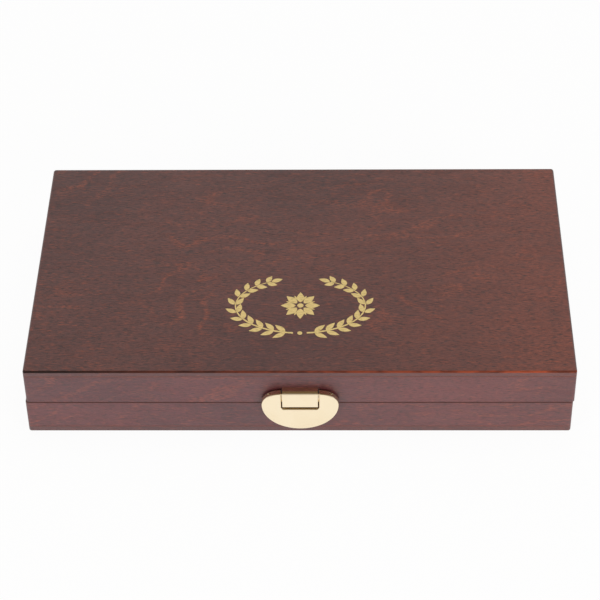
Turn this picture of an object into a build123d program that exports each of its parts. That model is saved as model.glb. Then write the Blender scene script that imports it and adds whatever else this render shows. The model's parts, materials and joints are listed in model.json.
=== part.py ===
from build123d import *
from math import asin, degrees
import os

# Wooden watercolour box, closed. Millimetres, +Z up, the front with the clasp towards -Y.
# The origin is the middle of the bottom face.

# Wooden case
box_width = 240.0
box_depth = 140.0
base_height = 17.7
lid_height = 18.6
seam_gap = 0.1
lid_shift = 0.45  # the lid sits this far to the right of the base
wall = 7.0
panel_thickness = 3.0
corner_radius = 1.3  # upright corners
top_round = 0.9
bottom_round = 0.4
seam_ease = 0.25  # chamfer along the seam
joint_ease = 0.15  # chamfer where a panel meets the rails

# Hinges at the back
hinge_end_distance = 42.0  # from the end of the case to the middle of a hinge
hinge_length = 24.0
middle_knuckle = 8.0
knuckle_radius = 1.6
hinge_pin_radius = 0.75
pin_chamfer = 0.15
leaf_reach = 6.0  # from the back of the case inwards
leaf_thickness = 0.8
leaf_fit = 0.1
barrel_gap = 0.3  # between the barrel and the wood
knuckle_gap = 0.12  # along the pin
swing_gap = 0.2  # between one leaf and the other leaf's knuckles
running_fit = 0.04
stop_height = 1.1
stop_thickness = 0.8
base_stop_angle = -70.0
lid_opening = 95.0
stop_spare_angle = 1.5

# Hinge screws
screw_head_radius = 1.35
screw_head_height = 0.65
screw_shank_radius = 0.65
screw_length = 5.0
screw_spacing = 15.0
screw_slot_width = 0.35
screw_slot_depth = 0.25
wood_hole_fit = 0.05

# Clasp, measured outwards from the front wall and up from the seam
clasp_x = 0.7
clasp_half_width = 16.9
clasp_middle_z = 1.7
clasp_lower_height = 14.4
clasp_corner_width = 8.7
clasp_corner_height = 7.0
clasp_front = 3.8
clasp_back = 1.1
clasp_plate = 1.0
clasp_rim = 0.9
clasp_round = 0.7
notch_half_width = 8.2
notch_floor_z = -0.6
notch_round = 0.9
ear_round = 0.7
clasp_pin_z = 7.1
clasp_pin_out = 2.1
clasp_pin_radius = 0.55
clasp_pin_proud = 1.6  # past the inner rim of each ear
nose_half_width = 4.0
nose_height = 1.0

# Clasp bracket on the lid
bracket_half_width = 7.75
bracket_top_z = 9.2
bracket_bottom_z = 0.9
bracket_block_height = 4.2
bracket_bend = 2.0
bracket_plate = 1.0
bracket_wing_half_width = 13.0
bracket_wing_height = 4.1
wing_thickness = 0.4
bracket_nail_x = 10.6
bracket_nail_z = 2.9

# Catch plate on the base
catch_half_width = 7.0
catch_top_z = -3.0
catch_height = 6.5
catch_thickness = 0.5
ledge_half_width = 4.5
ledge_height = 0.6
ledge_out = 1.9
ledge_clearance = 0.3
catch_nail_x = 5.4
catch_nail_drop = 3.4

# Nails of the clasp
nail_head_radius = 0.9
nail_head_height = 0.45
nail_head_round = 0.36
nail_shank_radius = 0.4
nail_length = 4.5

# Pan tray and half pans, as many columns as the case takes
row_names = ("back", "front")
pan_length = 19.3
pan_depth = 15.8
pan_height = 9.5
pan_wall = 0.9
pan_corner = 1.0
pan_gap = 0.1
cell_wall = 0.6
tray_floor = 1.6
tray_height = 7.0
tray_wall = 1.6
cake_drop = 1.2  # below the rim of its pan
cake_gap = 0.05
cake_round = 0.5
content_gap = 0.5

# Dividers, palette and brush
divider_thickness = 3.0
divider_height = 11.0
divider_ease = 0.3
trough_width = 16.0
palette_length = 150.0
palette_height = 10.5
palette_rim = 3.5
palette_rib = 3.5
palette_floor = 3.5
palette_corner = 3.0
palette_round = 0.8
wells_long = 2
wells_deep = 2
handle_length = 128.0
handle_radius = 3.4
handle_tip_radius = 1.1
handle_neck_radius = 2.1
handle_belly_back = 24.0  # from the ferrule back to the thickest place
ferrule_length = 24.0
ferrule_radius = 2.6
ferrule_mouth_radius = 2.2
ferrule_wall = 0.35
ferrule_grip = 5.0  # length of handle inside the ferrule
tuft_length = 19.0
tuft_belly = 5.7  # from the ferrule to the thickest place
tuft_radius = 2.3
tuft_root = 4.0  # length of hair inside the ferrule
brush_end_gap = 29.0  # from the left inner wall to the tip of the handle

# Paints from the left, first the back row; their names come round again in a longer tray
cake_names = (
    "white", "lemon_yellow", "warm_yellow", "orange", "vermilion", "scarlet",
    "crimson", "rose", "violet", "ultramarine", "cobalt_blue",
    "sky_blue", "turquoise", "viridian", "leaf_green", "sap_green", "olive_green",
    "yellow_ochre", "raw_sienna", "burnt_sienna", "umber", "black",
)

# Places worked out from the sizes above
inner_width = box_width - 2 * wall
inner_depth = box_depth - 2 * wall
lid_low = base_height + seam_gap
hinge_y = box_depth / 2 + barrel_gap + knuckle_radius
hinge_z = base_height + seam_gap / 2
leaf_inner_y = box_depth / 2 - leaf_reach
screw_y = box_depth / 2 - leaf_reach / 2
floor_z = panel_thickness
hinge_x = box_width / 2 - hinge_end_distance
front_face = Plane((clasp_x, -box_depth / 2, base_height), x_dir=(1, 0, 0), z_dir=(0, -1, 0))

os.makedirs("parts", exist_ok=True)


def save(piece, name):
    piece.part.label = name
    export_step(piece.part, f"parts/{name}.step")


# Wooden case


def wedge_corners(side):
    """Plan of the region that one rail takes between its two 45 degree mitres."""
    half_width = box_width / 2
    half_depth = box_depth / 2
    if side == "front":
        return ((-half_width, -half_depth), (half_width, -half_depth),
                (half_width - half_depth, 0), (half_depth - half_width, 0))
    if side == "back":
        return ((half_width, half_depth), (-half_width, half_depth),
                (half_depth - half_width, 0), (half_width - half_depth, 0))
    if side == "left":
        return ((-half_width, half_depth), (-half_width, -half_depth), (half_depth - half_width, 0))
    return ((half_width, -half_depth), (half_width, half_depth), (half_width - half_depth, 0))


def mitred_rail(side, low, height, shift, lower_ease, upper_ease):
    """One rail of a mitred frame, eased along its outer edges, still without its hardware."""
    with BuildPart() as rail:
        with BuildSketch(Plane((shift, 0, low))):
            RectangleRounded(box_width, box_depth, corner_radius)
            Rectangle(inner_width, inner_depth, mode=Mode.SUBTRACT)
        extrude(amount=height)
        chamfer(rail.faces().sort_by(Axis.Z)[0].outer_wire().edges(), lower_ease)
        chamfer(rail.faces().sort_by(Axis.Z)[-1].outer_wire().edges(), upper_ease)
        with BuildSketch(Plane((shift, 0, low))):
            Polygon(*wedge_corners(side))
        extrude(amount=height, mode=Mode.INTERSECT)
    return rail.part


def outer_panel(low, shift, round_radius, rounded_face):
    """Bottom or top panel, flush with the rails, rounded on the face that shows."""
    with BuildPart() as panel:
        with BuildSketch(Plane((shift, 0, low))):
            RectangleRounded(box_width, box_depth, corner_radius)
        extrude(amount=panel_thickness)
        faces = panel.faces().sort_by(Axis.Z)
        rounded, eased = (faces[0], faces[-1]) if rounded_face == "bottom" else (faces[-1], faces[0])
        fillet(rounded.outer_wire().edges(), round_radius)
        chamfer(eased.outer_wire().edges(), joint_ease)
    return panel


def hinge_screw_places(z, flipped):
    """Where the hinge screws enter, with their heads at height z."""
    turn = 180 if flipped else 0
    return [
        Location((side * hinge_x + along * screw_spacing / 2, screw_y, z), (turn, 0, 0))
        for side in (-1, 1)
        for along in (-1, 1)
    ]


def nail_places(half_spacing, z, out):
    """Where a pair of clasp nails enters, with the undersides of their heads this far out."""
    return [
        front_face.offset(out).location * Location((side * half_spacing, z, 0))
        for side in (-1, 1)
    ]


bracket_nails = nail_places(bracket_nail_x, bracket_nail_z, wing_thickness)
catch_nails = nail_places(catch_nail_x, catch_top_z - catch_nail_drop, catch_thickness)
base_rail_height = base_height - panel_thickness
lid_rail_height = lid_height - panel_thickness

save(outer_panel(0, 0, bottom_round, "bottom"), "base_panel")
save(outer_panel(lid_low + lid_rail_height, lid_shift, top_round, "top"), "lid_panel")

for side in ("left", "right"):
    with BuildPart() as base_side_rail:
        add(mitred_rail(side, floor_z, base_rail_height, 0, joint_ease, seam_ease))
    save(base_side_rail, f"base_{side}_rail")
    with BuildPart() as lid_side_rail:
        add(mitred_rail(side, lid_low, lid_rail_height, lid_shift, seam_ease, joint_ease))
    save(lid_side_rail, f"lid_{side}_rail")

with BuildPart() as base_front_rail:
    add(mitred_rail("front", floor_z, base_rail_height, 0, joint_ease, seam_ease))
    with Locations(*catch_nails):
        Hole(nail_shank_radius + wood_hole_fit, nail_length)
save(base_front_rail, "base_front_rail")

with BuildPart() as lid_front_rail:
    add(mitred_rail("front", lid_low, lid_rail_height, lid_shift, seam_ease, joint_ease))
    with Locations(*bracket_nails):
        Hole(nail_shank_radius + wood_hole_fit, nail_length)
save(lid_front_rail, "lid_front_rail")


def cut_mortises(low):
    """Shallow pockets for the hinge leaves, open at the back, in the current rail."""
    with BuildSketch(Plane.XY.offset(low)) as mortises:
        with Locations(*[(side * hinge_x, leaf_inner_y - leaf_fit) for side in (-1, 1)]):
            Rectangle(hinge_length + 2 * leaf_fit, 2 * leaf_reach, align=(Align.CENTER, Align.MIN))
    extrude(mortises.sketch, amount=leaf_thickness, mode=Mode.SUBTRACT)


with BuildPart() as base_back_rail:
    add(mitred_rail("back", floor_z, base_rail_height, 0, joint_ease, seam_ease))
    cut_mortises(base_height - leaf_thickness)
    with Locations(*hinge_screw_places(base_height, False)):
        Hole(screw_shank_radius + wood_hole_fit, screw_length + wood_hole_fit)
save(base_back_rail, "base_back_rail")

with BuildPart() as lid_back_rail:
    add(mitred_rail("back", lid_low, lid_rail_height, lid_shift, seam_ease, joint_ease))
    cut_mortises(lid_low)
    with Locations(*hinge_screw_places(lid_low, True)):
        Hole(screw_shank_radius + wood_hole_fit, screw_length + wood_hole_fit)
save(lid_back_rail, "lid_back_rail")

# Hinges

stop_inner_radius = knuckle_radius + swing_gap
stop_outer_radius = knuckle_radius + stop_height
# Both stop bars touch at their inner edges, this far apart about the pin.
stop_meeting_angle = 2 * degrees(asin(stop_thickness / 2 / stop_inner_radius))
lid_stop_angle = base_stop_angle + lid_opening + stop_meeting_angle + stop_spare_angle
outer_knuckle = (hinge_length - middle_knuckle) / 2 - knuckle_gap
outer_knuckles = ((-hinge_length / 2, outer_knuckle), (middle_knuckle / 2 + knuckle_gap, outer_knuckle))
middle_knuckles = ((-middle_knuckle / 2, middle_knuckle),)


def bar_along_hinge(start, length, angle, inner_radius):
    """Radial stop bar from this inner radius to the outer one, in the current part."""
    with BuildSketch(Plane.YZ.offset(start)) as bar:
        with Locations((hinge_y, hinge_z)):
            with PolarLocations((inner_radius + stop_outer_radius) / 2, 1, start_angle=angle):
                Rectangle(stop_outer_radius - inner_radius, stop_thickness)
    extrude(bar.sketch, amount=length)


def round_along_hinge(start, length, radius, mode=Mode.ADD):
    """Cylinder about the hinge pin's line, in the current part."""
    with BuildSketch(Plane.YZ.offset(start)) as section:
        with Locations((hinge_y, hinge_z)):
            Circle(radius)
    extrude(section.sketch, amount=length, mode=mode)


def hinge_leaf(middle_x, low, own_knuckles, other_knuckles, stop_angle, flipped):
    """One leaf of a stop hinge: plate, knuckles, stop bar, bore and countersunk screw holes."""
    screw_face = low if flipped else low + leaf_thickness
    start = middle_x - hinge_length / 2
    with BuildPart() as leaf:
        with BuildSketch(Plane.XY.offset(low)):
            with Locations((middle_x, leaf_inner_y)):
                Rectangle(hinge_length, hinge_y - leaf_inner_y, align=(Align.CENTER, Align.MIN))
        extrude(amount=leaf_thickness)
        for offset_x, length in other_knuckles:
            clear_start = middle_x + offset_x - knuckle_gap
            clear_length = length + 2 * knuckle_gap
            round_along_hinge(clear_start, clear_length, knuckle_radius + swing_gap, Mode.SUBTRACT)
        for offset_x, length in own_knuckles:
            round_along_hinge(middle_x + offset_x, length, knuckle_radius)
            bar_along_hinge(middle_x + offset_x, length, stop_angle, knuckle_radius - leaf_thickness / 2)
        bar_along_hinge(start, hinge_length, stop_angle, stop_inner_radius)
        round_along_hinge(start, hinge_length, hinge_pin_radius + running_fit, Mode.SUBTRACT)
        places = [
            Location((middle_x + along * screw_spacing / 2, screw_y, screw_face), (180 if flipped else 0, 0, 0))
            for along in (-1, 1)
        ]
        with Locations(*places):
            CounterSinkHole(screw_shank_radius + wood_hole_fit, screw_head_radius + wood_hole_fit, leaf_thickness)
    return leaf


def screw_group(places):
    """Countersunk slotted screws, all alike, in one group."""
    with BuildPart() as screws:
        with Locations(*places):
            Cone(screw_shank_radius, screw_head_radius, screw_head_height,
                 align=(Align.CENTER, Align.CENTER, Align.MAX))
            Cylinder(screw_shank_radius, screw_length, align=(Align.CENTER, Align.CENTER, Align.MAX))
        with Locations(*places):
            Box(2 * screw_head_radius, screw_slot_width, screw_slot_depth,
                align=(Align.CENTER, Align.CENTER, Align.MAX), mode=Mode.SUBTRACT)
    return screws


for side_name, middle_x in (("left", -hinge_x), ("right", hinge_x)):
    base_leaf = hinge_leaf(middle_x, base_height - leaf_thickness, outer_knuckles, middle_knuckles,
                           base_stop_angle, False)
    save(base_leaf, f"{side_name}_hinge_base_leaf")
    lid_leaf = hinge_leaf(middle_x, lid_low, middle_knuckles, outer_knuckles, lid_stop_angle, True)
    save(lid_leaf, f"{side_name}_hinge_lid_leaf")
    with BuildPart() as hinge_pin:
        round_along_hinge(middle_x - hinge_length / 2, hinge_length, hinge_pin_radius)
        chamfer(hinge_pin.edges().filter_by(GeomType.CIRCLE), pin_chamfer)
    save(hinge_pin, f"{side_name}_hinge_pin")

save(screw_group(hinge_screw_places(base_height, False)), "base_hinge_screws")
save(screw_group(hinge_screw_places(lid_low, True)), "lid_hinge_screws")

# Clasp


def flap_outline(inset=0.0):
    """Oval outline of the flap, flatter above its widest line, in the current sketch."""
    top_z = clasp_middle_z + clasp_corner_height - inset
    corner_x = clasp_half_width - clasp_corner_width
    corner_radii = (clasp_corner_width - inset, clasp_corner_height - inset)
    lower_radii = (clasp_half_width - inset, clasp_lower_height - inset)
    with BuildLine() as oval:
        EllipticalCenterArc((0, clasp_middle_z), *lower_radii, 180, arc_size=180)
        EllipticalCenterArc((corner_x, clasp_middle_z), *corner_radii, 0, arc_size=90)
        Line((corner_x, top_z), (-corner_x, top_z))
        EllipticalCenterArc((-corner_x, clasp_middle_z), *corner_radii, 90, arc_size=90)
    make_face(oval.edges())
    with Locations((0, notch_floor_z - inset)):
        Rectangle(2 * (notch_half_width + inset), 2 * clasp_lower_height,
                  align=(Align.CENTER, Align.MIN), mode=Mode.SUBTRACT)


def round_along_clasp(start, length, radius, mode=Mode.ADD):
    """Cylinder about the clasp pin's line, in the current part."""
    with BuildSketch(Plane.YZ.offset(clasp_x + start)) as section:
        with Locations((-box_depth / 2 - clasp_pin_out, base_height + clasp_pin_z)):
            Circle(radius)
    extrude(section.sketch, amount=length, mode=mode)


with BuildPart() as clasp_flap:
    with BuildSketch(front_face.offset(clasp_back)) as outline:
        flap_outline()
        notch_corners = outline.vertices().filter_by(lambda v: abs(abs(v.X) - notch_half_width) < 0.01)
        fillet(notch_corners.sort_by(Axis.Y)[:2], notch_round)
        ear_corners = outline.vertices().filter_by(lambda v: abs(abs(v.X) - notch_half_width) < 0.01)
        fillet(ear_corners.sort_by(Axis.Y)[-2:], ear_round)
    extrude(amount=clasp_front - clasp_back)
    fillet(clasp_flap.faces().sort_by(Axis.Y)[0].outer_wire().edges(), clasp_round)
    with BuildSketch(front_face.offset(clasp_back)):
        flap_outline(clasp_rim)
    extrude(amount=clasp_front - clasp_back - clasp_plate, mode=Mode.SUBTRACT)
    nose_top_z = catch_top_z - ledge_height - ledge_clearance
    with BuildSketch(front_face.offset(clasp_back)):
        with Locations((0, nose_top_z)):
            Rectangle(2 * nose_half_width, nose_height, align=(Align.CENTER, Align.MAX))
    extrude(amount=clasp_front - clasp_back - clasp_plate / 2)
    round_along_clasp(-clasp_half_width, 2 * clasp_half_width, clasp_pin_radius + running_fit, Mode.SUBTRACT)
save(clasp_flap, "clasp_flap")

with BuildPart() as clasp_bracket:
    with BuildSketch(Plane.YZ.offset(clasp_x - bracket_half_width)):
        with Locations((-box_depth / 2, base_height + bracket_top_z)):
            Rectangle(clasp_front, bracket_block_height, align=(Align.MAX, Align.MAX))
        with Locations((-box_depth / 2 - clasp_front, base_height + bracket_top_z)):
            Rectangle(bracket_plate, bracket_top_z - bracket_bottom_z, align=(Align.MIN, Align.MAX))
    extrude(amount=2 * bracket_half_width)
    front_top = clasp_bracket.edges().filter_by(Axis.X).group_by(Axis.Z)[-1].sort_by(Axis.Y)[0]
    fillet(front_top, bracket_bend)
    with BuildSketch(front_face):
        with Locations((0, bracket_bottom_z)):
            Rectangle(2 * bracket_wing_half_width, bracket_wing_height, align=(Align.CENTER, Align.MIN))
    extrude(amount=wing_thickness)
    round_along_clasp(-bracket_half_width, 2 * bracket_half_width, clasp_pin_radius + running_fit, Mode.SUBTRACT)
    with Locations(*bracket_nails):
        Hole(nail_shank_radius + wood_hole_fit, wing_thickness)
save(clasp_bracket, "clasp_bracket")

clasp_pin_half_length = notch_half_width + clasp_rim + clasp_pin_proud
with BuildPart() as clasp_pin:
    round_along_clasp(-clasp_pin_half_length, 2 * clasp_pin_half_length, clasp_pin_radius)
    chamfer(clasp_pin.edges().filter_by(GeomType.CIRCLE), pin_chamfer)
save(clasp_pin, "clasp_pin")

with BuildPart() as catch_plate:
    with BuildSketch(front_face):
        with Locations((0, catch_top_z)):
            Rectangle(2 * catch_half_width, catch_height, align=(Align.CENTER, Align.MAX))
    extrude(amount=catch_thickness)
    with BuildSketch(front_face):
        with Locations((0, catch_top_z)):
            Rectangle(2 * ledge_half_width, ledge_height, align=(Align.CENTER, Align.MAX))
    extrude(amount=ledge_out)
    with Locations(*catch_nails):
        Hole(nail_shank_radius + wood_hole_fit, catch_thickness)
save(catch_plate, "catch_plate")


def nail_group(places):
    """Round-headed nails, all alike, in one group."""
    with BuildPart() as nails:
        with Locations(*places):
            Cylinder(nail_head_radius, nail_head_height, align=(Align.CENTER, Align.CENTER, Align.MIN))
            Cylinder(nail_shank_radius, nail_length, align=(Align.CENTER, Align.CENTER, Align.MAX))
        outer_rims = nails.edges().filter_by(GeomType.CIRCLE).group_by(Axis.Y)[0]
        fillet(outer_rims, nail_head_round)
    return nails


save(nail_group(bracket_nails), "bracket_nails")
save(nail_group(catch_nails), "catch_nails")

# Pan tray, half pans and paint

cell_length = pan_length + 2 * pan_gap
cell_depth = pan_depth + 2 * pan_gap
pan_pitch_x = cell_length + cell_wall
pan_pitch_y = cell_depth + cell_wall
tray_width = inner_width - 2 * content_gap
pan_columns = int((tray_width - 2 * tray_wall + cell_wall) // pan_pitch_x)
pan_rows = len(row_names)
tray_depth = pan_rows * pan_pitch_y - cell_wall + 2 * tray_wall
tray_y = inner_depth / 2 - content_gap - tray_depth / 2
pan_low = floor_z + tray_floor
first_pan_x = -(pan_columns - 1) / 2 * pan_pitch_x
first_row_y = tray_y + (pan_rows - 1) / 2 * pan_pitch_y

with BuildPart() as pan_tray:
    with BuildSketch(Plane((0, tray_y, floor_z))):
        RectangleRounded(tray_width, tray_depth, pan_corner)
    extrude(amount=tray_height)
    with BuildSketch(Plane((0, tray_y, pan_low))):
        with GridLocations(pan_pitch_x, pan_pitch_y, pan_columns, pan_rows):
            Rectangle(cell_length, cell_depth)
    extrude(amount=tray_height, mode=Mode.SUBTRACT)
save(pan_tray, "pan_tray")

cake_length = pan_length - 2 * pan_wall - 2 * cake_gap
cake_depth = pan_depth - 2 * pan_wall - 2 * cake_gap
cake_height = pan_height - pan_wall - cake_drop


def paint_name(place):
    """Name of the paint at this place in the tray, numbered from its second round on."""
    name = cake_names[place % len(cake_names)]
    rounds_before = place // len(cake_names)
    return f"{name}_{rounds_before + 1}_paint" if rounds_before else f"{name}_paint"


for row, row_name in enumerate(row_names):
    row_y = first_row_y - row * pan_pitch_y
    with BuildPart() as half_pans:
        with BuildSketch(Plane((0, row_y, pan_low))):
            with GridLocations(pan_pitch_x, pan_pitch_y, pan_columns, 1):
                RectangleRounded(pan_length, pan_depth, pan_corner)
        extrude(amount=pan_height)
        with BuildSketch(Plane((0, row_y, pan_low + pan_wall))):
            with GridLocations(pan_pitch_x, pan_pitch_y, pan_columns, 1):
                Rectangle(pan_length - 2 * pan_wall, pan_depth - 2 * pan_wall)
        extrude(amount=pan_height, mode=Mode.SUBTRACT)
    save(half_pans, f"{row_name}_row_half_pans")
    for column in range(pan_columns):
        with BuildPart() as cake:
            with BuildSketch(Plane((first_pan_x + column * pan_pitch_x, row_y, pan_low + pan_wall))):
                Rectangle(cake_length, cake_depth)
            extrude(amount=cake_height)
            fillet(cake.faces().sort_by(Axis.Z)[-1].edges(), cake_round)
        save(cake, paint_name(row * pan_columns + column))

# Dividers

tray_divider_y = tray_y - tray_depth / 2 - content_gap - divider_thickness / 2
bay_divider_y = tray_divider_y - trough_width - divider_thickness
palette_x = -inner_width / 2 + content_gap + palette_length / 2
palette_divider_x = palette_x + palette_length / 2 + content_gap + divider_thickness / 2
bay_depth = bay_divider_y - divider_thickness / 2 + inner_depth / 2
bay_y = -inner_depth / 2 + bay_depth / 2

for name, place_y in (("tray_divider", tray_divider_y), ("trough_divider", bay_divider_y)):
    with BuildPart() as divider:
        with BuildSketch(Plane((0, place_y, floor_z))):
            Rectangle(inner_width, divider_thickness)
        extrude(amount=divider_height)
        chamfer(divider.faces().sort_by(Axis.Z)[-1].edges().filter_by(Axis.X), divider_ease)
    save(divider, name)

with BuildPart() as palette_divider:
    with BuildSketch(Plane((palette_divider_x, bay_y, floor_z))):
        Rectangle(divider_thickness, bay_depth)
    extrude(amount=divider_height)
    chamfer(palette_divider.faces().sort_by(Axis.Z)[-1].edges().filter_by(Axis.Y), divider_ease)
save(palette_divider, "palette_divider")

# Mixing palette

palette_depth = bay_depth - 2 * content_gap
well_length = (palette_length - 2 * palette_rim - (wells_long - 1) * palette_rib) / wells_long
well_depth = (palette_depth - 2 * palette_rim - (wells_deep - 1) * palette_rib) / wells_deep

with BuildPart() as palette:
    with BuildSketch(Plane((palette_x, bay_y, floor_z))):
        RectangleRounded(palette_length, palette_depth, palette_corner)
    extrude(amount=palette_height)
    with BuildSketch(Plane((palette_x, bay_y, floor_z + palette_floor))):
        with GridLocations(well_length + palette_rib, well_depth + palette_rib, wells_long, wells_deep):
            RectangleRounded(well_length, well_depth, palette_corner)
    extrude(amount=palette_height, mode=Mode.SUBTRACT)
    top_edges = palette.faces().sort_by(Axis.Z)[-1].edges()
    fillet(top_edges, palette_round)
save(palette, "mixing_palette")

# Brush, lying along X in its trough

brush_x = -inner_width / 2 + brush_end_gap
brush_y = (tray_divider_y + bay_divider_y) / 2
brush_z = floor_z + handle_radius + wood_hole_fit
brush_plane = Plane((brush_x, brush_y, brush_z), x_dir=(1, 0, 0), z_dir=(0, -1, 0))
brush_axis = Axis((brush_x, brush_y, brush_z), (1, 0, 0))
neck_x = handle_length - ferrule_grip
belly_x = neck_x - handle_belly_back

with BuildPart() as brush_handle:
    with BuildSketch(brush_plane):
        with BuildLine():
            Polyline((neck_x, handle_neck_radius), (handle_length, handle_neck_radius),
                     (handle_length, 0), (0, 0), (0, handle_tip_radius))
            Spline((0, handle_tip_radius), (belly_x, handle_radius), (neck_x, handle_neck_radius),
                   tangents=((1, 0), (1, 0), (1, 0)))
        make_face()
    revolve(axis=brush_axis)
save(brush_handle, "brush_handle")

with BuildPart() as brush_ferrule:
    with BuildSketch(brush_plane):
        with BuildLine():
            Polyline((neck_x, handle_neck_radius + wood_hole_fit), (neck_x, ferrule_radius),
                     (neck_x + ferrule_grip, ferrule_radius),
                     (neck_x + ferrule_length, ferrule_mouth_radius + ferrule_wall),
                     (neck_x + ferrule_length, ferrule_mouth_radius),
                     (handle_length, handle_neck_radius + wood_hole_fit), close=True)
        make_face()
    revolve(axis=brush_axis)
save(brush_ferrule, "brush_ferrule")

mouth_x = neck_x + ferrule_length
tuft_root_radius = handle_neck_radius
with BuildPart() as brush_tuft:
    with BuildSketch(brush_plane):
        with BuildLine():
            Polyline((mouth_x + tuft_length, 0), (mouth_x - tuft_root, 0),
                     (mouth_x - tuft_root, tuft_root_radius))
            Spline((mouth_x - tuft_root, tuft_root_radius), (mouth_x, tuft_root_radius),
                   (mouth_x + tuft_belly, tuft_radius), (mouth_x + tuft_length, 0))
        make_face()
    revolve(axis=brush_axis)
save(brush_tuft, "brush_tuft")
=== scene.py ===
import bisect
import json
import math
import random
from collections import namedtuple

import bmesh
import bpy
from mathutils import Matrix, Vector


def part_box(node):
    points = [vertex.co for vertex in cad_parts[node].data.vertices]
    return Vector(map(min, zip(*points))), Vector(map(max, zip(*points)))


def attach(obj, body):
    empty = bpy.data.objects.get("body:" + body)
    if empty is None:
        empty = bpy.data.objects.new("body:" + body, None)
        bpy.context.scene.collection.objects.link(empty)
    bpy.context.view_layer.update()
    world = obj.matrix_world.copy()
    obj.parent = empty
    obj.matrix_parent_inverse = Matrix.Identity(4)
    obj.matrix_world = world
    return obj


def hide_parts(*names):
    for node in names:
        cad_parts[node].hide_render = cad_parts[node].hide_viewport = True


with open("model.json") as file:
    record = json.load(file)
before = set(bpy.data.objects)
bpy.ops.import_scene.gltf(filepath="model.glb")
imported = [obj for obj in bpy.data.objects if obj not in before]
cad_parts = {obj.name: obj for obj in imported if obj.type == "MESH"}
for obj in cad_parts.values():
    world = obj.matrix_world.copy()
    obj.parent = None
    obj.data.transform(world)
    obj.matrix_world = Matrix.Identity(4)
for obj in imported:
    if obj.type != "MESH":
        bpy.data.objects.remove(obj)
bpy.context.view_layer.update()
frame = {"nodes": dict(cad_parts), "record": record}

random.seed(7)
nodes = frame["nodes"]
slots = {row["node"]: row["material_slot"] for row in frame["record"]["subparts"]}
slot_colours = {row["slot"]: row["base_color"][:3] for row in frame["record"]["materials"]}

WHITE = (1.0, 1.0, 1.0)


class Nodes:
    """A node tree with short calls for the nodes that the materials and the world need."""

    def __init__(self, tree):
        self.tree = tree

    def feed(self, socket, value):
        """Links another node's output to the socket, or sets a plain value."""
        if isinstance(value, bpy.types.NodeSocket):
            self.tree.links.new(value, socket)
        elif socket.type == "RGBA":
            socket.default_value = (*value, 1.0)
        else:
            socket.default_value = value

    def node(self, kind, inputs=None, **settings):
        made = self.tree.nodes.new(kind)
        for key, value in settings.items():
            setattr(made, key, value)
        for key, value in (inputs or {}).items():
            self.feed(made.inputs[key], value)
        return made

    def math(self, operation, first, second=0.0):
        return self.node("ShaderNodeMath", {0: first, 1: second}, operation=operation).outputs[0]

    def place(self, kind="Object"):
        return self.node("ShaderNodeTexCoord").outputs[kind]

    def coordinates(self, scale=(1, 1, 1), offset=(0, 0, 0)):
        inputs = {"Vector": self.place(), "Scale": scale, "Location": offset}
        return self.node("ShaderNodeMapping", inputs).outputs[0]

    def parts(self, vector):
        return self.node("ShaderNodeSeparateXYZ", {0: vector}).outputs

    def noise(self, vector, scale, detail, roughness=0.5, distortion=0.0):
        inputs = {"Vector": vector, "Scale": scale, "Detail": detail, "Roughness": roughness,
                  "Distortion": distortion}
        return self.node("ShaderNodeTexNoise", inputs).outputs["Fac"]

    def spread(self, value, low, high, to_low=0.0, to_high=1.0):
        """Maps low to to_low and high to to_high, and holds these values beyond them."""
        inputs = {"Value": value, "From Min": low, "From Max": high, "To Min": to_low, "To Max": to_high}
        return self.node("ShaderNodeMapRange", inputs).outputs[0]

    def mix(self, share, first, second):
        """The first colour, with the given share of the second."""
        return self.node("ShaderNodeMix", {0: share, 6: first, 7: second}, data_type="RGBA").outputs[2]

    def bump(self, height, strength, distance, normal=None):
        inputs = {"Height": height, "Strength": strength, "Distance": distance}
        if normal is not None:
            inputs["Normal"] = normal
        return self.node("ShaderNodeBump", inputs).outputs[0]

    def seen_directly(self):
        """1 on rays from the camera and on reflected or refracted ones, 0 on rays that only carry light."""
        path = self.node("ShaderNodeLightPath").outputs
        seen = self.math("MAXIMUM", path["Is Camera Ray"], path["Is Glossy Ray"])
        return self.math("MAXIMUM", seen, path["Is Transmission Ray"])


class Shader(Nodes):
    """A new material and its nodes, which lead to one surface."""

    def __init__(self, name):
        self.material = bpy.data.materials.new(name)
        self.material.use_nodes = True
        super().__init__(self.material.node_tree)
        self.principled = self.tree.nodes["Principled BSDF"]

    def surface(self, **inputs):
        for key, value in inputs.items():
            self.feed(self.principled.inputs[key.replace("_", " ")], value)
        return self.material


def scaled(values, share):
    return tuple(value * share for value in values)


def toned(colour, shares):
    return tuple(part * share for part, share in zip(colour, shares))


# Wood

WOOD_SLOTS = ("stained_wood", "inner_wood", "tray_wood")

# Two stains, the share of painted light that makes the right end redder, and how strongly each mark of the
# grain shows
WoodKind = namedtuple("WoodKind", "stains redness figure flecks pores fibres")
PANEL = WoodKind(((0.083, 0.0235, 0.0210), (0.128, 0.0375, 0.0300)), 0.50, 0.75, 0.66, 0.87, 0.65)
RAIL = WoodKind(((0.086, 0.0180, 0.0225), (0.135, 0.0285, 0.0315)), 0.12, 0.45, 0.444, 0.622, 0.51)
# Red of the wood's figure and flecks, also used as the painted light that makes the right end redder
RED_STAIN_AND_LIGHT = (0.285, 0.0600, 0.0260)
PORE_STAIN = (0.018, 0.0045, 0.0040)

# Upright edges of the panels, which are darker, and how far the darker colour covers the grain
PANEL_EDGE = (0.076, 0.0190, 0.0225)
PANEL_EDGE_SHARE = 0.50

# Rounded edges: painted shade at the seam, along the floor and on the lid's back and side edges, a painted
# highlight at a panel's joint with its rails, and ragged wear from painted shade to a painted highlight on
# the lid's front edge
# Painted shade at the seam and along the floor, and a painted highlight at the joints of panel and rails
SHADED_EDGE = (0.072, 0.0190, 0.0140)
JOINT_HIGHLIGHT = (0.180, 0.0520, 0.0340)
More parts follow.
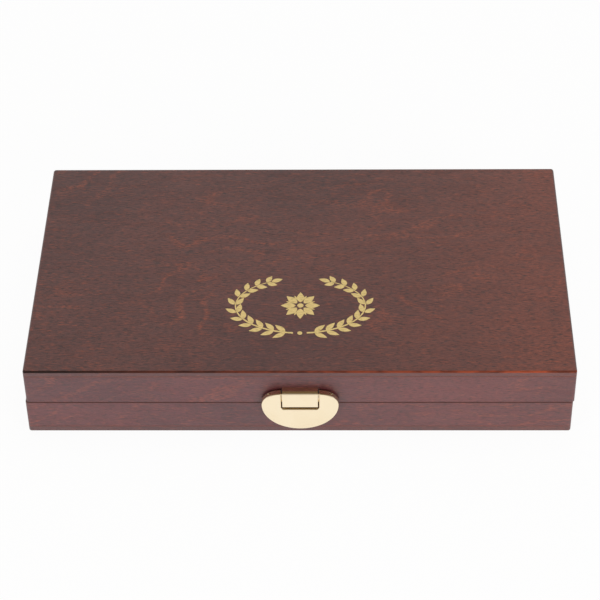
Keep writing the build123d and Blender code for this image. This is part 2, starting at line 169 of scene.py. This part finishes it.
# Painted shade and painted highlight on the worn front edge of the lid
SHADED_WORN_EDGE = (0.012, 0.0020, 0.0010)
LIT_WORN_EDGE = (0.275, 0.0470, 0.0150)

# Lowest and highest roughness, and specular level
Finish = namedtuple("Finish", "smooth rough shine")
LACQUERED = Finish(0.38, 0.50, 1.0)
PLAIN = Finish(0.58, 0.72, 0.4)

# How much tighter a pattern is across the grain, and the patterns' scales per metre
GRAIN_STRETCH = 4.5
FIGURE_STRETCH = 2.3
FIBRE_SCALE = 450.0
PORE_SCALE = 360.0
FLECK_SCALE = 270.0
WEAR_SCALE = 120.0
GLOSS_SCALE = 80.0
PATCH_SCALE = 24.0
CLOUD_SCALE = 15.0
FIGURE_SCALE = 9.0

# Waves of figure over the range of its noise, in radians
FIGURE_WAVES = 85.0

# Where along the box painted light turns the wood redder, and where the lid's worn front edge turns from
# painted shade to a painted highlight, in metres from the middle
REDDER_FROM, REDDEST_FROM = -0.02, 0.125
EDGE_LIGHTENS_FROM, EDGE_FULLY_LIT_FROM = -0.10, 0.10

# Each piece is cut from another place in the wood: a step per piece, and each pattern's share of it
SEED_STEP = 1.37
STREAK_OFFSET = (1.0, 0.7, 0.3)
FIGURE_OFFSET = (0.5, 0.0, 0.0)
CLOUD_OFFSET = (0.1, 0.0, 0.0)


def across_grain(axis, stretch):
    """Scale that keeps a pattern long along the axis and packs it tighter across it."""
    return tuple(1.0 if letter == axis else stretch for letter in "XYZ")


def stained(shader, kind, plain, rightwards):
    """Broad clouds of two stains, with painted light that makes them redder towards the right."""
    clouds = shader.noise(plain, CLOUD_SCALE, detail=3.0, roughness=0.55, distortion=0.3)
    colour = shader.mix(shader.spread(clouds, low=0.36, high=0.66), *kind.stains)
    # Painted light: the wood turns lighter and redder towards the right end
    redness = shader.spread(rightwards, REDDER_FROM, REDDEST_FROM, to_high=kind.redness)
    clouded = shader.spread(clouds, low=0.30, high=0.65, to_low=0.45)
    return shader.mix(shader.math("MULTIPLY", redness, clouded), colour, RED_STAIN_AND_LIGHT)


def figured(shader, colour, kind, plain, wavy, fibres):
    """Long wavy lines of figure, broken into short dashes."""
    field = shader.noise(wavy, FIGURE_SCALE, detail=2.0, distortion=0.5)
    waves = shader.math("SINE", shader.math("MULTIPLY", field, FIGURE_WAVES))
    patches = shader.spread(shader.noise(plain, PATCH_SCALE, detail=2.0), low=0.42, high=0.60)
    lines = shader.math("MULTIPLY", shader.spread(waves, low=0.55, high=1.0), patches)
    lines = shader.math("MULTIPLY", lines, shader.spread(fibres, low=0.42, high=0.60))
    return shader.mix(shader.math("MULTIPLY", lines, kind.figure), colour, RED_STAIN_AND_LIGHT)


def grained(shader, colour, kind, streaky, fibres, pores):
    """Reddish flecks, dark pores and fine fibres."""
    flecks = shader.noise(streaky, FLECK_SCALE, detail=4.0, roughness=0.65, distortion=0.3)
    flecks = shader.spread(flecks, low=0.54, high=0.68)
    colour = shader.mix(shader.math("MULTIPLY", flecks, kind.flecks), colour, RED_STAIN_AND_LIGHT)
    colour = shader.mix(shader.math("MULTIPLY", pores, kind.pores), colour, PORE_STAIN)
    dark_fibres = shader.spread(fibres, low=0.36, high=0.60, to_low=kind.fibres, to_high=0.0)
    return shader.mix(dark_fibres, colour, PORE_STAIN)


def slanting(shader, height):
    """1 where the outward normal's height is between upright and level, as on a rounded edge."""
    rising = shader.spread(height, low=0.06, high=0.22)
    falling = shader.spread(height, low=0.955, high=0.995, to_low=1.0, to_high=0.0)
    return shader.math("MULTIPLY", rising, falling)


def worn_and_lit_edge(shader, streaky, rightwards, facing_front):
    """Colour of the lid's upper edge: painted shade on the back and sides, and in front ragged wear from
    painted shade on the left to a painted highlight towards the right.
    """
    wear = shader.spread(shader.noise(streaky, WEAR_SCALE, detail=3.0), low=0.36, high=0.58, to_low=0.30)
    # Painted shade on the left of the front edge turning to a painted highlight towards the right, broken by
    # ragged wear
    edge_light = shader.spread(rightwards, EDGE_LIGHTENS_FROM, EDGE_FULLY_LIT_FROM)
    front = shader.mix(shader.math("MULTIPLY", edge_light, wear), SHADED_WORN_EDGE, LIT_WORN_EDGE)
    return shader.mix(facing_front, SHADED_EDGE, front)


def edged(shader, node, colour, rough, streaky, rightwards):
    """Colour and roughness of a lacquered piece, with painted shade and painted highlights on its rounded
    edges.
    """
    normal = shader.parts(shader.node("ShaderNodeNewGeometry").outputs["Normal"])
    upper = slanting(shader, normal["Z"])
    lower = slanting(shader, shader.math("MULTIPLY", normal["Z"], -1.0))
    # Painted shade at the seam and along the floor, and a painted highlight where a panel meets its rails
    upper_edge_shading, lower_edge_shading = SHADED_EDGE, JOINT_HIGHLIGHT
    if node.startswith("lid") or node == "base_panel":
        upper_edge_shading, lower_edge_shading = JOINT_HIGHLIGHT, SHADED_EDGE
    if node == "lid_panel":
        # The lid's front edge is worn and its lacquer dull; its colour is painted shade turning to a painted
        # highlight towards the right
        facing_front = shader.spread(normal["Y"], low=-0.25, high=-0.10, to_low=1.0, to_high=0.0)
        upper_edge_shading = worn_and_lit_edge(shader, streaky, rightwards, facing_front)
        lower_edge_shading = JOINT_HIGHLIGHT
        rough = shader.math("MAXIMUM", rough, shader.math("MULTIPLY", upper, facing_front))
    if node.endswith("panel"):
        tilt = shader.math("ABSOLUTE", normal["Z"])
        upright = shader.spread(tilt, low=0.02, high=0.06, to_low=PANEL_EDGE_SHARE, to_high=0.0)
        colour = shader.mix(upright, colour, PANEL_EDGE)
    colour = shader.mix(upper, colour, upper_edge_shading)
    return shader.mix(lower, colour, lower_edge_shading), rough


def wood_material(node, slot, seed):
    """Stained wood for one node: figured on panels and plainer on rails, and lacquered on the case."""
    runs_in_depth = "left_rail" in node or "right_rail" in node or node == "palette_divider"
    axis = "Y" if runs_in_depth else "X"
    kind = PANEL if node.endswith("panel") else RAIL
    finish = LACQUERED if slot == "stained_wood" else PLAIN

    shader = Shader(f"{node}_finish")
    streaky = shader.coordinates(across_grain(axis, GRAIN_STRETCH), scaled(STREAK_OFFSET, seed))
    wavy = shader.coordinates(across_grain(axis, FIGURE_STRETCH), scaled(FIGURE_OFFSET, seed))
    plain = shader.coordinates(offset=scaled(CLOUD_OFFSET, seed))
    rightwards = shader.parts(shader.place())["X"]
    fibres = shader.noise(streaky, FIBRE_SCALE, detail=4.0, roughness=0.65, distortion=0.2)
    pores = shader.noise(streaky, PORE_SCALE, detail=3.0, roughness=0.6, distortion=0.2)
    pores = shader.spread(pores, low=0.33, high=0.46, to_low=1.0, to_high=0.0)

    colour = stained(shader, kind, plain, rightwards)
    colour = figured(shader, colour, kind, plain, wavy, fibres)
    colour = grained(shader, colour, kind, streaky, fibres, pores)
    gloss = shader.noise(streaky, GLOSS_SCALE, detail=2.0)
    rough = shader.spread(gloss, low=0.3, high=0.7, to_low=finish.smooth, to_high=finish.rough)
    if finish is LACQUERED:
        colour, rough = edged(shader, node, colour, rough, streaky, rightwards)
    relief = shader.bump(shader.math("SUBTRACT", fibres, pores), strength=0.12, distance=0.0002)
    return shader.surface(Base_Color=colour, Roughness=rough, Normal=relief, Specular_IOR_Level=finish.shine)


# Metal: colour and least roughness

METALS = {
    "gilt_brass": ((0.97, 0.83, 0.60), 0.22),
    "hinge_brass": ((0.88, 0.68, 0.38), 0.22),
    "screw_brass": ((0.82, 0.62, 0.33), 0.28),
    "ferrule_metal": ((0.86, 0.86, 0.87), 0.14),
}
TARNISH = (0.93, 0.88, 0.80)


def polished(name, colour, roughness, seed):
    """Lacquered metal with faint handling marks."""
    shader = Shader(name)
    clouds = shader.noise(shader.coordinates(offset=(seed, 0, 0)), scale=60.0, detail=3.0)
    scratches = shader.noise(shader.coordinates((1, 1, 12), (seed, 0, 0)), scale=900.0, detail=2.0)
    tarnished = shader.spread(clouds, low=0.35, high=0.7, to_high=0.6)
    tint = shader.mix(tarnished, colour, toned(colour, TARNISH))
    handled = roughness * 1.35
    rough = shader.spread(clouds, low=0.3, high=0.7, to_low=roughness, to_high=handled)
    marks = shader.bump(scratches, strength=0.02, distance=0.0001)
    return shader.surface(Base_Color=tint, Metallic=1.0, Roughness=rough, Normal=marks)


# Smaller materials

PAN_COLOUR = (0.80, 0.80, 0.78)
PORCELAIN_COLOUR = (0.82, 0.82, 0.80)
POOLED_GLAZE = (0.97, 0.975, 0.97)
HANDLE_COLOUR = (0.16, 0.015, 0.012)
PLAIN_HAIR_COLOUR = (0.20, 0.09, 0.04)
HAIR_COLOUR = (0.22, 0.10, 0.045)
THIN_FOIL = (0.54, 0.40, 0.15)
FULL_FOIL = (0.80, 0.61, 0.25)


def moulded(name, colour):
    """Pan plastic with a fine moulded grain."""
    shader = Shader(name)
    grain = shader.noise(shader.coordinates(), scale=1600.0, detail=2.0)
    clouds = shader.noise(shader.coordinates(), scale=40.0, detail=2.0)
    duller = scaled(colour, 0.9)
    tint = shader.mix(shader.spread(clouds, low=0.3, high=0.7, to_high=0.25), colour, duller)
    relief = shader.bump(grain, strength=0.08, distance=0.0001)
    return shader.surface(Base_Color=tint, Roughness=0.35, Normal=relief)


def porcelain(name, colour):
    """White glaze, slightly deeper where it pooled."""
    shader = Shader(name)
    pooled = shader.noise(shader.coordinates(), scale=30.0, detail=2.0)
    tint = shader.mix(shader.spread(pooled, low=0.35, high=0.7), colour, toned(colour, POOLED_GLAZE))
    relief = shader.bump(pooled, strength=0.15, distance=0.0004)
    return shader.surface(Base_Color=tint, Roughness=0.12, Coat_Weight=0.5, Coat_Roughness=0.05,
                          Normal=relief)


def pressed_paint(name, colour, seed):
    """Dry watercolour: matt, slightly blotched and finely grained."""
    shader = Shader(name)
    place = shader.coordinates(offset=(seed, seed, 0))
    blotches = shader.noise(place, scale=130.0, detail=3.0)
    specks = shader.noise(place, scale=1800.0, detail=2.0)
    darker = scaled(colour, 0.82)
    lighter = tuple(min(1.0, 1.08 * part + 0.005) for part in colour)
    tint = shader.mix(shader.spread(blotches, low=0.3, high=0.7), darker, lighter)
    rough = shader.spread(blotches, low=0.35, high=0.65, to_low=0.45, to_high=0.8)
    uneven = shader.bump(blotches, strength=0.20, distance=0.0006)
    grainy = shader.bump(specks, strength=0.08, distance=0.0001, normal=uneven)
    return shader.surface(Base_Color=tint, Roughness=rough, Normal=grainy)


def lacquer(name, colour):
    """Lacquered brush handle with the wood's streaks under the coat."""
    shader = Shader(name)
    streaks = shader.noise(shader.coordinates(across_grain("X", 12)), scale=90.0, detail=3.0)
    darker = scaled(colour, 0.6)
    tint = shader.mix(shader.spread(streaks, low=0.3, high=0.7), colour, darker)
    return shader.surface(Base_Color=tint, Roughness=0.35, Coat_Weight=0.8, Coat_Roughness=0.06)


def hair(name, colour):
    """Brown hair, darker in strands."""
    shader = Shader(name)
    strands = shader.noise(shader.coordinates(across_grain("X", 30)), scale=60.0, detail=2.0)
    darker = scaled(colour, 0.5)
    tint = shader.mix(shader.spread(strands, low=0.3, high=0.7), colour, darker)
    return shader.surface(Base_Color=tint, Roughness=0.5)


def gold_foil(name):
    """Hot-stamped foil: pale gold, thin in places over the pores of the wood."""
    shader = Shader(name)
    wear = shader.noise(shader.coordinates(across_grain("X", 5)), scale=500.0, detail=3.0)
    tint = shader.mix(shader.spread(wear, low=0.32, high=0.52), THIN_FOIL, FULL_FOIL)
    relief = shader.bump(wear, strength=0.1, distance=0.0001)
    return shader.surface(Base_Color=tint, Metallic=0.15, Roughness=0.40, Normal=relief)


def shared_material(slot, seed):
    """Material for all nodes of one slot."""
    if slot in METALS:
        return polished(slot, *METALS[slot], seed)
    if slot == "pan_plastic":
        return moulded(slot, PAN_COLOUR)
    if slot == "porcelain":
        return porcelain(slot, PORCELAIN_COLOUR)
    if slot == "handle_lacquer":
        return lacquer(slot, HANDLE_COLOUR)
    if slot == "hair":
        return hair(slot, PLAIN_HAIR_COLOUR)
    return pressed_paint(slot, slot_colours[slot], seed)


def dress_nodes():
    """Gives every CAD node its material."""
    shared = {}
    for seed, (node, slot) in enumerate(sorted(slots.items())):
        if slot in WOOD_SLOTS:
            material = wood_material(node, slot, SEED_STEP * seed)
        elif slot in shared:
            material = shared[slot]
        else:
            material = shared[slot] = shared_material(slot, seed)
        mesh = nodes[node].data
        mesh.materials.clear()
        mesh.materials.append(material)


def new_object(name, mesh, material):
    made = bpy.data.objects.new(name, mesh)
    bpy.context.scene.collection.objects.link(made)
    mesh.materials.append(material)
    return made


def finished_mesh(name, work):
    """Turns the work into a mesh whose faces look outwards."""
    bmesh.ops.recalc_face_normals(work, faces=work.faces)
    mesh = bpy.data.meshes.new(name)
    work.to_mesh(mesh)
    work.free()
    return mesh


# Gold ornament on the lid: a wreath of two leafy branches about a rosette; metres, degrees and radians

ORNAMENT_CENTRE_Y = -0.0275
FOIL_THICKNESS = 0.00004
FOIL_SINK = 0.00001

WREATH_HALF_WIDTH = 0.0290
WREATH_HALF_DEPTH = 0.0180
WREATH_START = 6.0
WREATH_END = 152.0
WREATH_FINE_STEPS = 400
STEM_WIDTH = 0.0009
STEM_TAPER = 0.6
BUD_RADIUS = 0.0011

LEAF_PAIRS = 11
STEPS_PER_PAIR = 6
LEAF_LENGTH = 0.0072
LEAF_SHORTENING = 0.25
LEAF_HALF_WIDTH = 0.00125
LEAF_TURN = 0.62
TIP_LEAF_LENGTH = 0.8 * LEAF_LENGTH

ROSETTE_PETALS = 8
ROSETTE_REACH = 0.0088
ROSETTE_EYE = 0.0014
PETAL_HALF_WIDTH = 0.0017

# Root radius, tip radius and half width
BROAD_PETAL = (0.24 * ROSETTE_REACH, ROSETTE_REACH, PETAL_HALF_WIDTH)
NARROW_PETAL = (0.50 * ROSETTE_REACH, 0.80 * ROSETTE_REACH, 0.25 * PETAL_HALF_WIDTH)

OUTLINE_STEPS = 12
OUTLINE_LEAN = 0.8
DISC_STEPS = 20


def leaf(root, tip, half_width):
    """Pointed outline, both sides as sine bows that are widest a little before the middle."""
    along = tip - root
    across = Vector((-along.y, along.x)).normalized() * half_width
    shares = [i / OUTLINE_STEPS for i in range(OUTLINE_STEPS + 1)]
    bows = [(share, math.sin(math.pi * share ** OUTLINE_LEAN)) for share in shares]
    left = [root + along * share + across * bow for share, bow in bows]
    right = [root + along * share - across * bow for share, bow in bows[-2:0:-1]]
    return left + right


def disc(centre, radius):
    turns = [math.tau * i / DISC_STEPS for i in range(DISC_STEPS)]
    return [centre + radius * Vector((math.cos(turn), math.sin(turn))) for turn in turns]


def ribbon(points, root_width):
    """Outline of a line that thins towards its end."""
    left, right = [], []
    for i, point in enumerate(points):
        along = (points[min(i + 1, len(points) - 1)] - points[max(i - 1, 0)]).normalized()
        half_width = root_width / 2 * (1 - STEM_TAPER * i / len(points))
        across = Vector((-along.y, along.x)) * half_width
        left.append(point + across)
        right.append(point - across)
    return left + right[::-1]


def rosette():
    """Broad petals with narrow ones between them, and an eye."""
    outlines = [disc(Vector((0, 0)), ROSETTE_EYE)]
    for index in range(2 * ROSETTE_PETALS):
        angle = math.pi * index / ROSETTE_PETALS
        out = Vector((math.cos(angle), math.sin(angle)))
        root, tip, half_width = NARROW_PETAL if index % 2 else BROAD_PETAL
        outlines.append(leaf(out * root, out * tip, half_width))
    return outlines


def branch_points(side):
    """Points along one branch at even steps, from its foot to its tip."""
    points = []
    for i in range(WREATH_FINE_STEPS + 1):
        turn = math.radians(WREATH_START + (WREATH_END - WREATH_START) * i / WREATH_FINE_STEPS)
        x = side * WREATH_HALF_WIDTH * math.sin(turn)
        y = -WREATH_HALF_DEPTH * math.cos(turn)
        points.append(Vector((x, y)))
    lengths = [0.0]
    for before, after in zip(points, points[1:]):
        lengths.append(lengths[-1] + (after - before).length)
    even_steps = STEPS_PER_PAIR * LEAF_PAIRS
    wanted = [lengths[-1] * i / even_steps for i in range(even_steps + 1)]
    return [points[min(bisect.bisect_left(lengths, length), WREATH_FINE_STEPS)] for length in wanted]


def branch(side):
    """A stem with paired leaves, and one leaf at its tip."""
    points = branch_points(side)
    outlines = [ribbon(points, STEM_WIDTH)]
    for pair in range(LEAF_PAIRS):
        index = STEPS_PER_PAIR * pair + STEPS_PER_PAIR // 2
        root = points[index]
        along = (points[index + 1] - points[index - 1]).normalized()
        length = LEAF_LENGTH * (1 - LEAF_SHORTENING * pair / LEAF_PAIRS)
        for turn in (LEAF_TURN, -LEAF_TURN):
            out = Matrix.Rotation(turn, 2) @ along
            outlines.append(leaf(root + out * STEM_WIDTH, root + out * length, LEAF_HALF_WIDTH))
    tip = points[-1]
    along = (tip - points[-2]).normalized()
    outlines.append(leaf(tip + along * STEM_WIDTH / 2, tip + along * TIP_LEAF_LENGTH, LEAF_HALF_WIDTH))
    return outlines


def add_plate(work, outline, low_z, high_z):
    """Adds a flat plate with the given outline."""
    top = [work.verts.new((point.x, point.y, high_z)) for point in outline]
    bottom = [work.verts.new((point.x, point.y, low_z)) for point in outline]
    work.faces.new(top)
    work.faces.new(bottom[::-1])
    for i in range(len(outline)):
        j = (i + 1) % len(outline)
        work.faces.new((top[i], bottom[i], bottom[j], top[j]))


def make_ornament():
    """Thin foil on the lid's top face, slightly sunk so that it has no gap beneath."""
    low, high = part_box("lid_panel")
    centre = Vector(((low.x + high.x) / 2, ORNAMENT_CENTRE_Y))
    bud = disc(Vector((0, -WREATH_HALF_DEPTH)), BUD_RADIUS)
    work = bmesh.new()
    for outline in [*rosette(), bud, *branch(-1), *branch(1)]:
        placed = [point + centre for point in outline]
        add_plate(work, placed, high.z - FOIL_SINK, high.z + FOIL_THICKNESS)
    made = new_object("lid_ornament", finished_mesh("lid_ornament", work), gold_foil("gold_foil"))
    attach(made, "lid")


# Brush hair, in metres and in shares of the tuft's size

HAIR_COUNT = 420
HAIR_RADIUS = 0.00010
HAIR_TAPER = 0.75
HAIR_SINK = 0.0012
HAIR_SHORTENING = 0.30
HAIR_RINGS = 12
HAIR_SIDES = 4
BELLY_FIT = 0.93
ROOT_SHARE = 0.80
SWELL_END = 0.35
CLOSING_START = 0.30
CLOSING_POWER = 1.7


def tuft_radius(t, root_radius, belly):
    """Radius of the tuft at a share of its length: it swells to its belly, then closes to a point."""
    swelling = math.sin(min(1.0, t / SWELL_END) * math.pi / 2)
    swollen = root_radius + (belly - root_radius) * swelling
    closing = max(0.0, (t - CLOSING_START) / (1 - CLOSING_START))
    return swollen * math.sqrt(max(0.0, 1 - closing ** CLOSING_POWER))


def hair_ring(work, x, y, z, radius):
    """Corners of one cross-section of a hair."""
    turns = [math.tau * side / HAIR_SIDES for side in range(HAIR_SIDES)]
    return [work.verts.new((x, y + radius * math.cos(turn), z + radius * math.sin(turn))) for turn in turns]


def join_rings(work, rings):
    """Adds the faces of one closed hair."""
    work.faces.new(rings[0][::-1])
    for before, after in zip(rings, rings[1:]):
        for side in range(HAIR_SIDES):
            following = (side + 1) % HAIR_SIDES
            work.faces.new((before[side], before[following], after[following], after[side]))
    work.faces.new(rings[-1])


def make_tuft():
    """Pointed tuft of single hairs that leave the ferrule and close to a tip."""
    low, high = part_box("brush_tuft")
    mouth_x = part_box("brush_ferrule")[1].x
    centre_y = (low.y + high.y) / 2
    centre_z = (low.z + high.z) / 2
    belly = (high.z - low.z) / 2 * BELLY_FIT
    root_radius = belly * ROOT_SHARE
    golden_angle = math.pi * (3 - math.sqrt(5))
    work = bmesh.new()
    for index in range(HAIR_COUNT):
        share = math.sqrt((index + 0.5) / HAIR_COUNT)
        angle = index * golden_angle
        reach = (high.x - mouth_x) * (1.0 - HAIR_SHORTENING * share * random.random())
        rings = []
        for i in range(HAIR_RINGS + 1):
            t = i / HAIR_RINGS
            x = mouth_x - HAIR_SINK + (reach + HAIR_SINK) * t
            out = share * tuft_radius(t, root_radius, belly)
            y = centre_y + out * math.cos(angle)
            z = centre_z + out * math.sin(angle)
            rings.append(hair_ring(work, x, y, z, HAIR_RADIUS * (1 - HAIR_TAPER * t)))
        join_rings(work, rings)
    made = new_object("brush_hairs", finished_mesh("brush_hairs", work), hair("brush_hair", HAIR_COLOUR))
    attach(made, "brush")
    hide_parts("brush_tuft")


# Camera, fitted to the case's corners in the photograph; degrees, metres, and millimetres of lens

CAMERA_YAW = -1.464
CAMERA_PITCH = 42.193
CAMERA_ROLL = -1.053
CAMERA_DISTANCE = 0.98662
CAMERA_TARGET = Vector((-0.00038, 0.0, 0.01478))
CAMERA_LENS = 127.87
SENSOR_WIDTH = 36.0


def make_camera():
    yaw, pitch, roll = (math.radians(angle) for angle in (CAMERA_YAW, CAMERA_PITCH, CAMERA_ROLL))
    forward = Vector((math.sin(yaw) * math.cos(pitch), math.cos(yaw) * math.cos(pitch), -math.sin(pitch)))
    right = Vector((math.cos(yaw), -math.sin(yaw), 0))
    up = right.cross(forward)
    turned_right = right * math.cos(roll) + up * math.sin(roll)
    turned_up = up * math.cos(roll) - right * math.sin(roll)
    data = bpy.data.cameras.new("camera")
    data.lens = CAMERA_LENS
    data.sensor_width = SENSOR_WIDTH
    camera = bpy.data.objects.new("camera", data)
    bpy.context.scene.collection.objects.link(camera)
    turn = Matrix((turned_right, turned_up, -forward)).transposed().to_4x4()
    camera.matrix_world = Matrix.Translation(CAMERA_TARGET - forward * CAMERA_DISTANCE) @ turn
    bpy.context.scene.camera = camera


# Floor: white paper that takes the object's shadow

FLOOR_REACH = 6.0
FLOOR_COLOUR = (0.88, 0.88, 0.88)
FLOOR_ROUGHNESS = 0.9
FLOOR_WHITENESS = 0.95


def make_floor():
    mesh = bpy.data.meshes.new("floor")
    corners = [(-1, -1), (1, -1), (1, 1), (-1, 1)]
    mesh.from_pydata([(FLOOR_REACH * x, FLOOR_REACH * y, 0) for x, y in corners], [], [(0, 1, 2, 3)])
    shader = Shader("floor_paper")
    shader.surface(Base_Color=FLOOR_COLOUR, Roughness=FLOOR_ROUGHNESS)
    white = shader.node("ShaderNodeEmission", {"Color": WHITE, "Strength": 1.0})
    share = shader.math("MULTIPLY", shader.seen_directly(), FLOOR_WHITENESS)
    shaders = {0: share, 1: shader.principled.outputs[0], 2: white.outputs[0]}
    joined = shader.node("ShaderNodeMixShader", shaders).outputs[0]
    shader.feed(shader.tree.nodes["Material Output"].inputs[0], joined)
    new_object("floor", mesh, shader.material)


# World: a white room that darkens towards its ceiling, and gives less light than it shows

CEILING_DIRECTION = (0.0, -0.15, 1.0)
CEILING_START = 0.25
CEILING_END = 0.84
CEILING_COLOUR = (0.15, 0.105, 0.060)
ROOM_LIGHT = 0.66


def make_world():
    world = bpy.data.worlds.new("studio")
    bpy.context.scene.world = world
    world.use_nodes = True
    room = Nodes(world.node_tree)
    directions = {0: room.place("Generated"), 1: CEILING_DIRECTION}
    upwards = room.node("ShaderNodeVectorMath", directions, operation="DOT_PRODUCT").outputs["Value"]
    colour = room.mix(room.spread(upwards, CEILING_START, CEILING_END), WHITE, CEILING_COLOUR)
    strength = room.spread(room.seen_directly(), low=0.0, high=1.0, to_low=ROOM_LIGHT)
    background = room.tree.nodes["Background"]
    room.feed(background.inputs["Color"], colour)
    room.feed(background.inputs["Strength"], strength)


# Lamps: name, place and diameter in metres, and power in watts

LAMPS = (
    ("key", (1.1, -1.3, 0.45), 0.9, 16.0),
    ("fill", (-1.2, -1.2, 0.45), 1.0, 10.5),
    ("top", (0.1, 0.15, 1.45), 1.2, 10.0),
)


def make_lamp(name, place, diameter, power):
    """Soft lamp turned to the object, which leaves no mirror image of itself in metal."""
    data = bpy.data.lights.new(name, "AREA")
    data.shape = "DISK"
    data.size = diameter
    data.energy = power
    light = bpy.data.objects.new(name, data)
    bpy.context.scene.collection.objects.link(light)
    light.location = place
    light.rotation_euler = (CAMERA_TARGET - Vector(place)).to_track_quat("-Z", "Y").to_euler()
    light.visible_glossy = False


make_camera()
make_floor()
make_world()
for lamp in LAMPS:
    make_lamp(*lamp)
dress_nodes()
make_ornament()
make_tuft()

bpy.context.scene.view_settings.view_transform = "Standard"
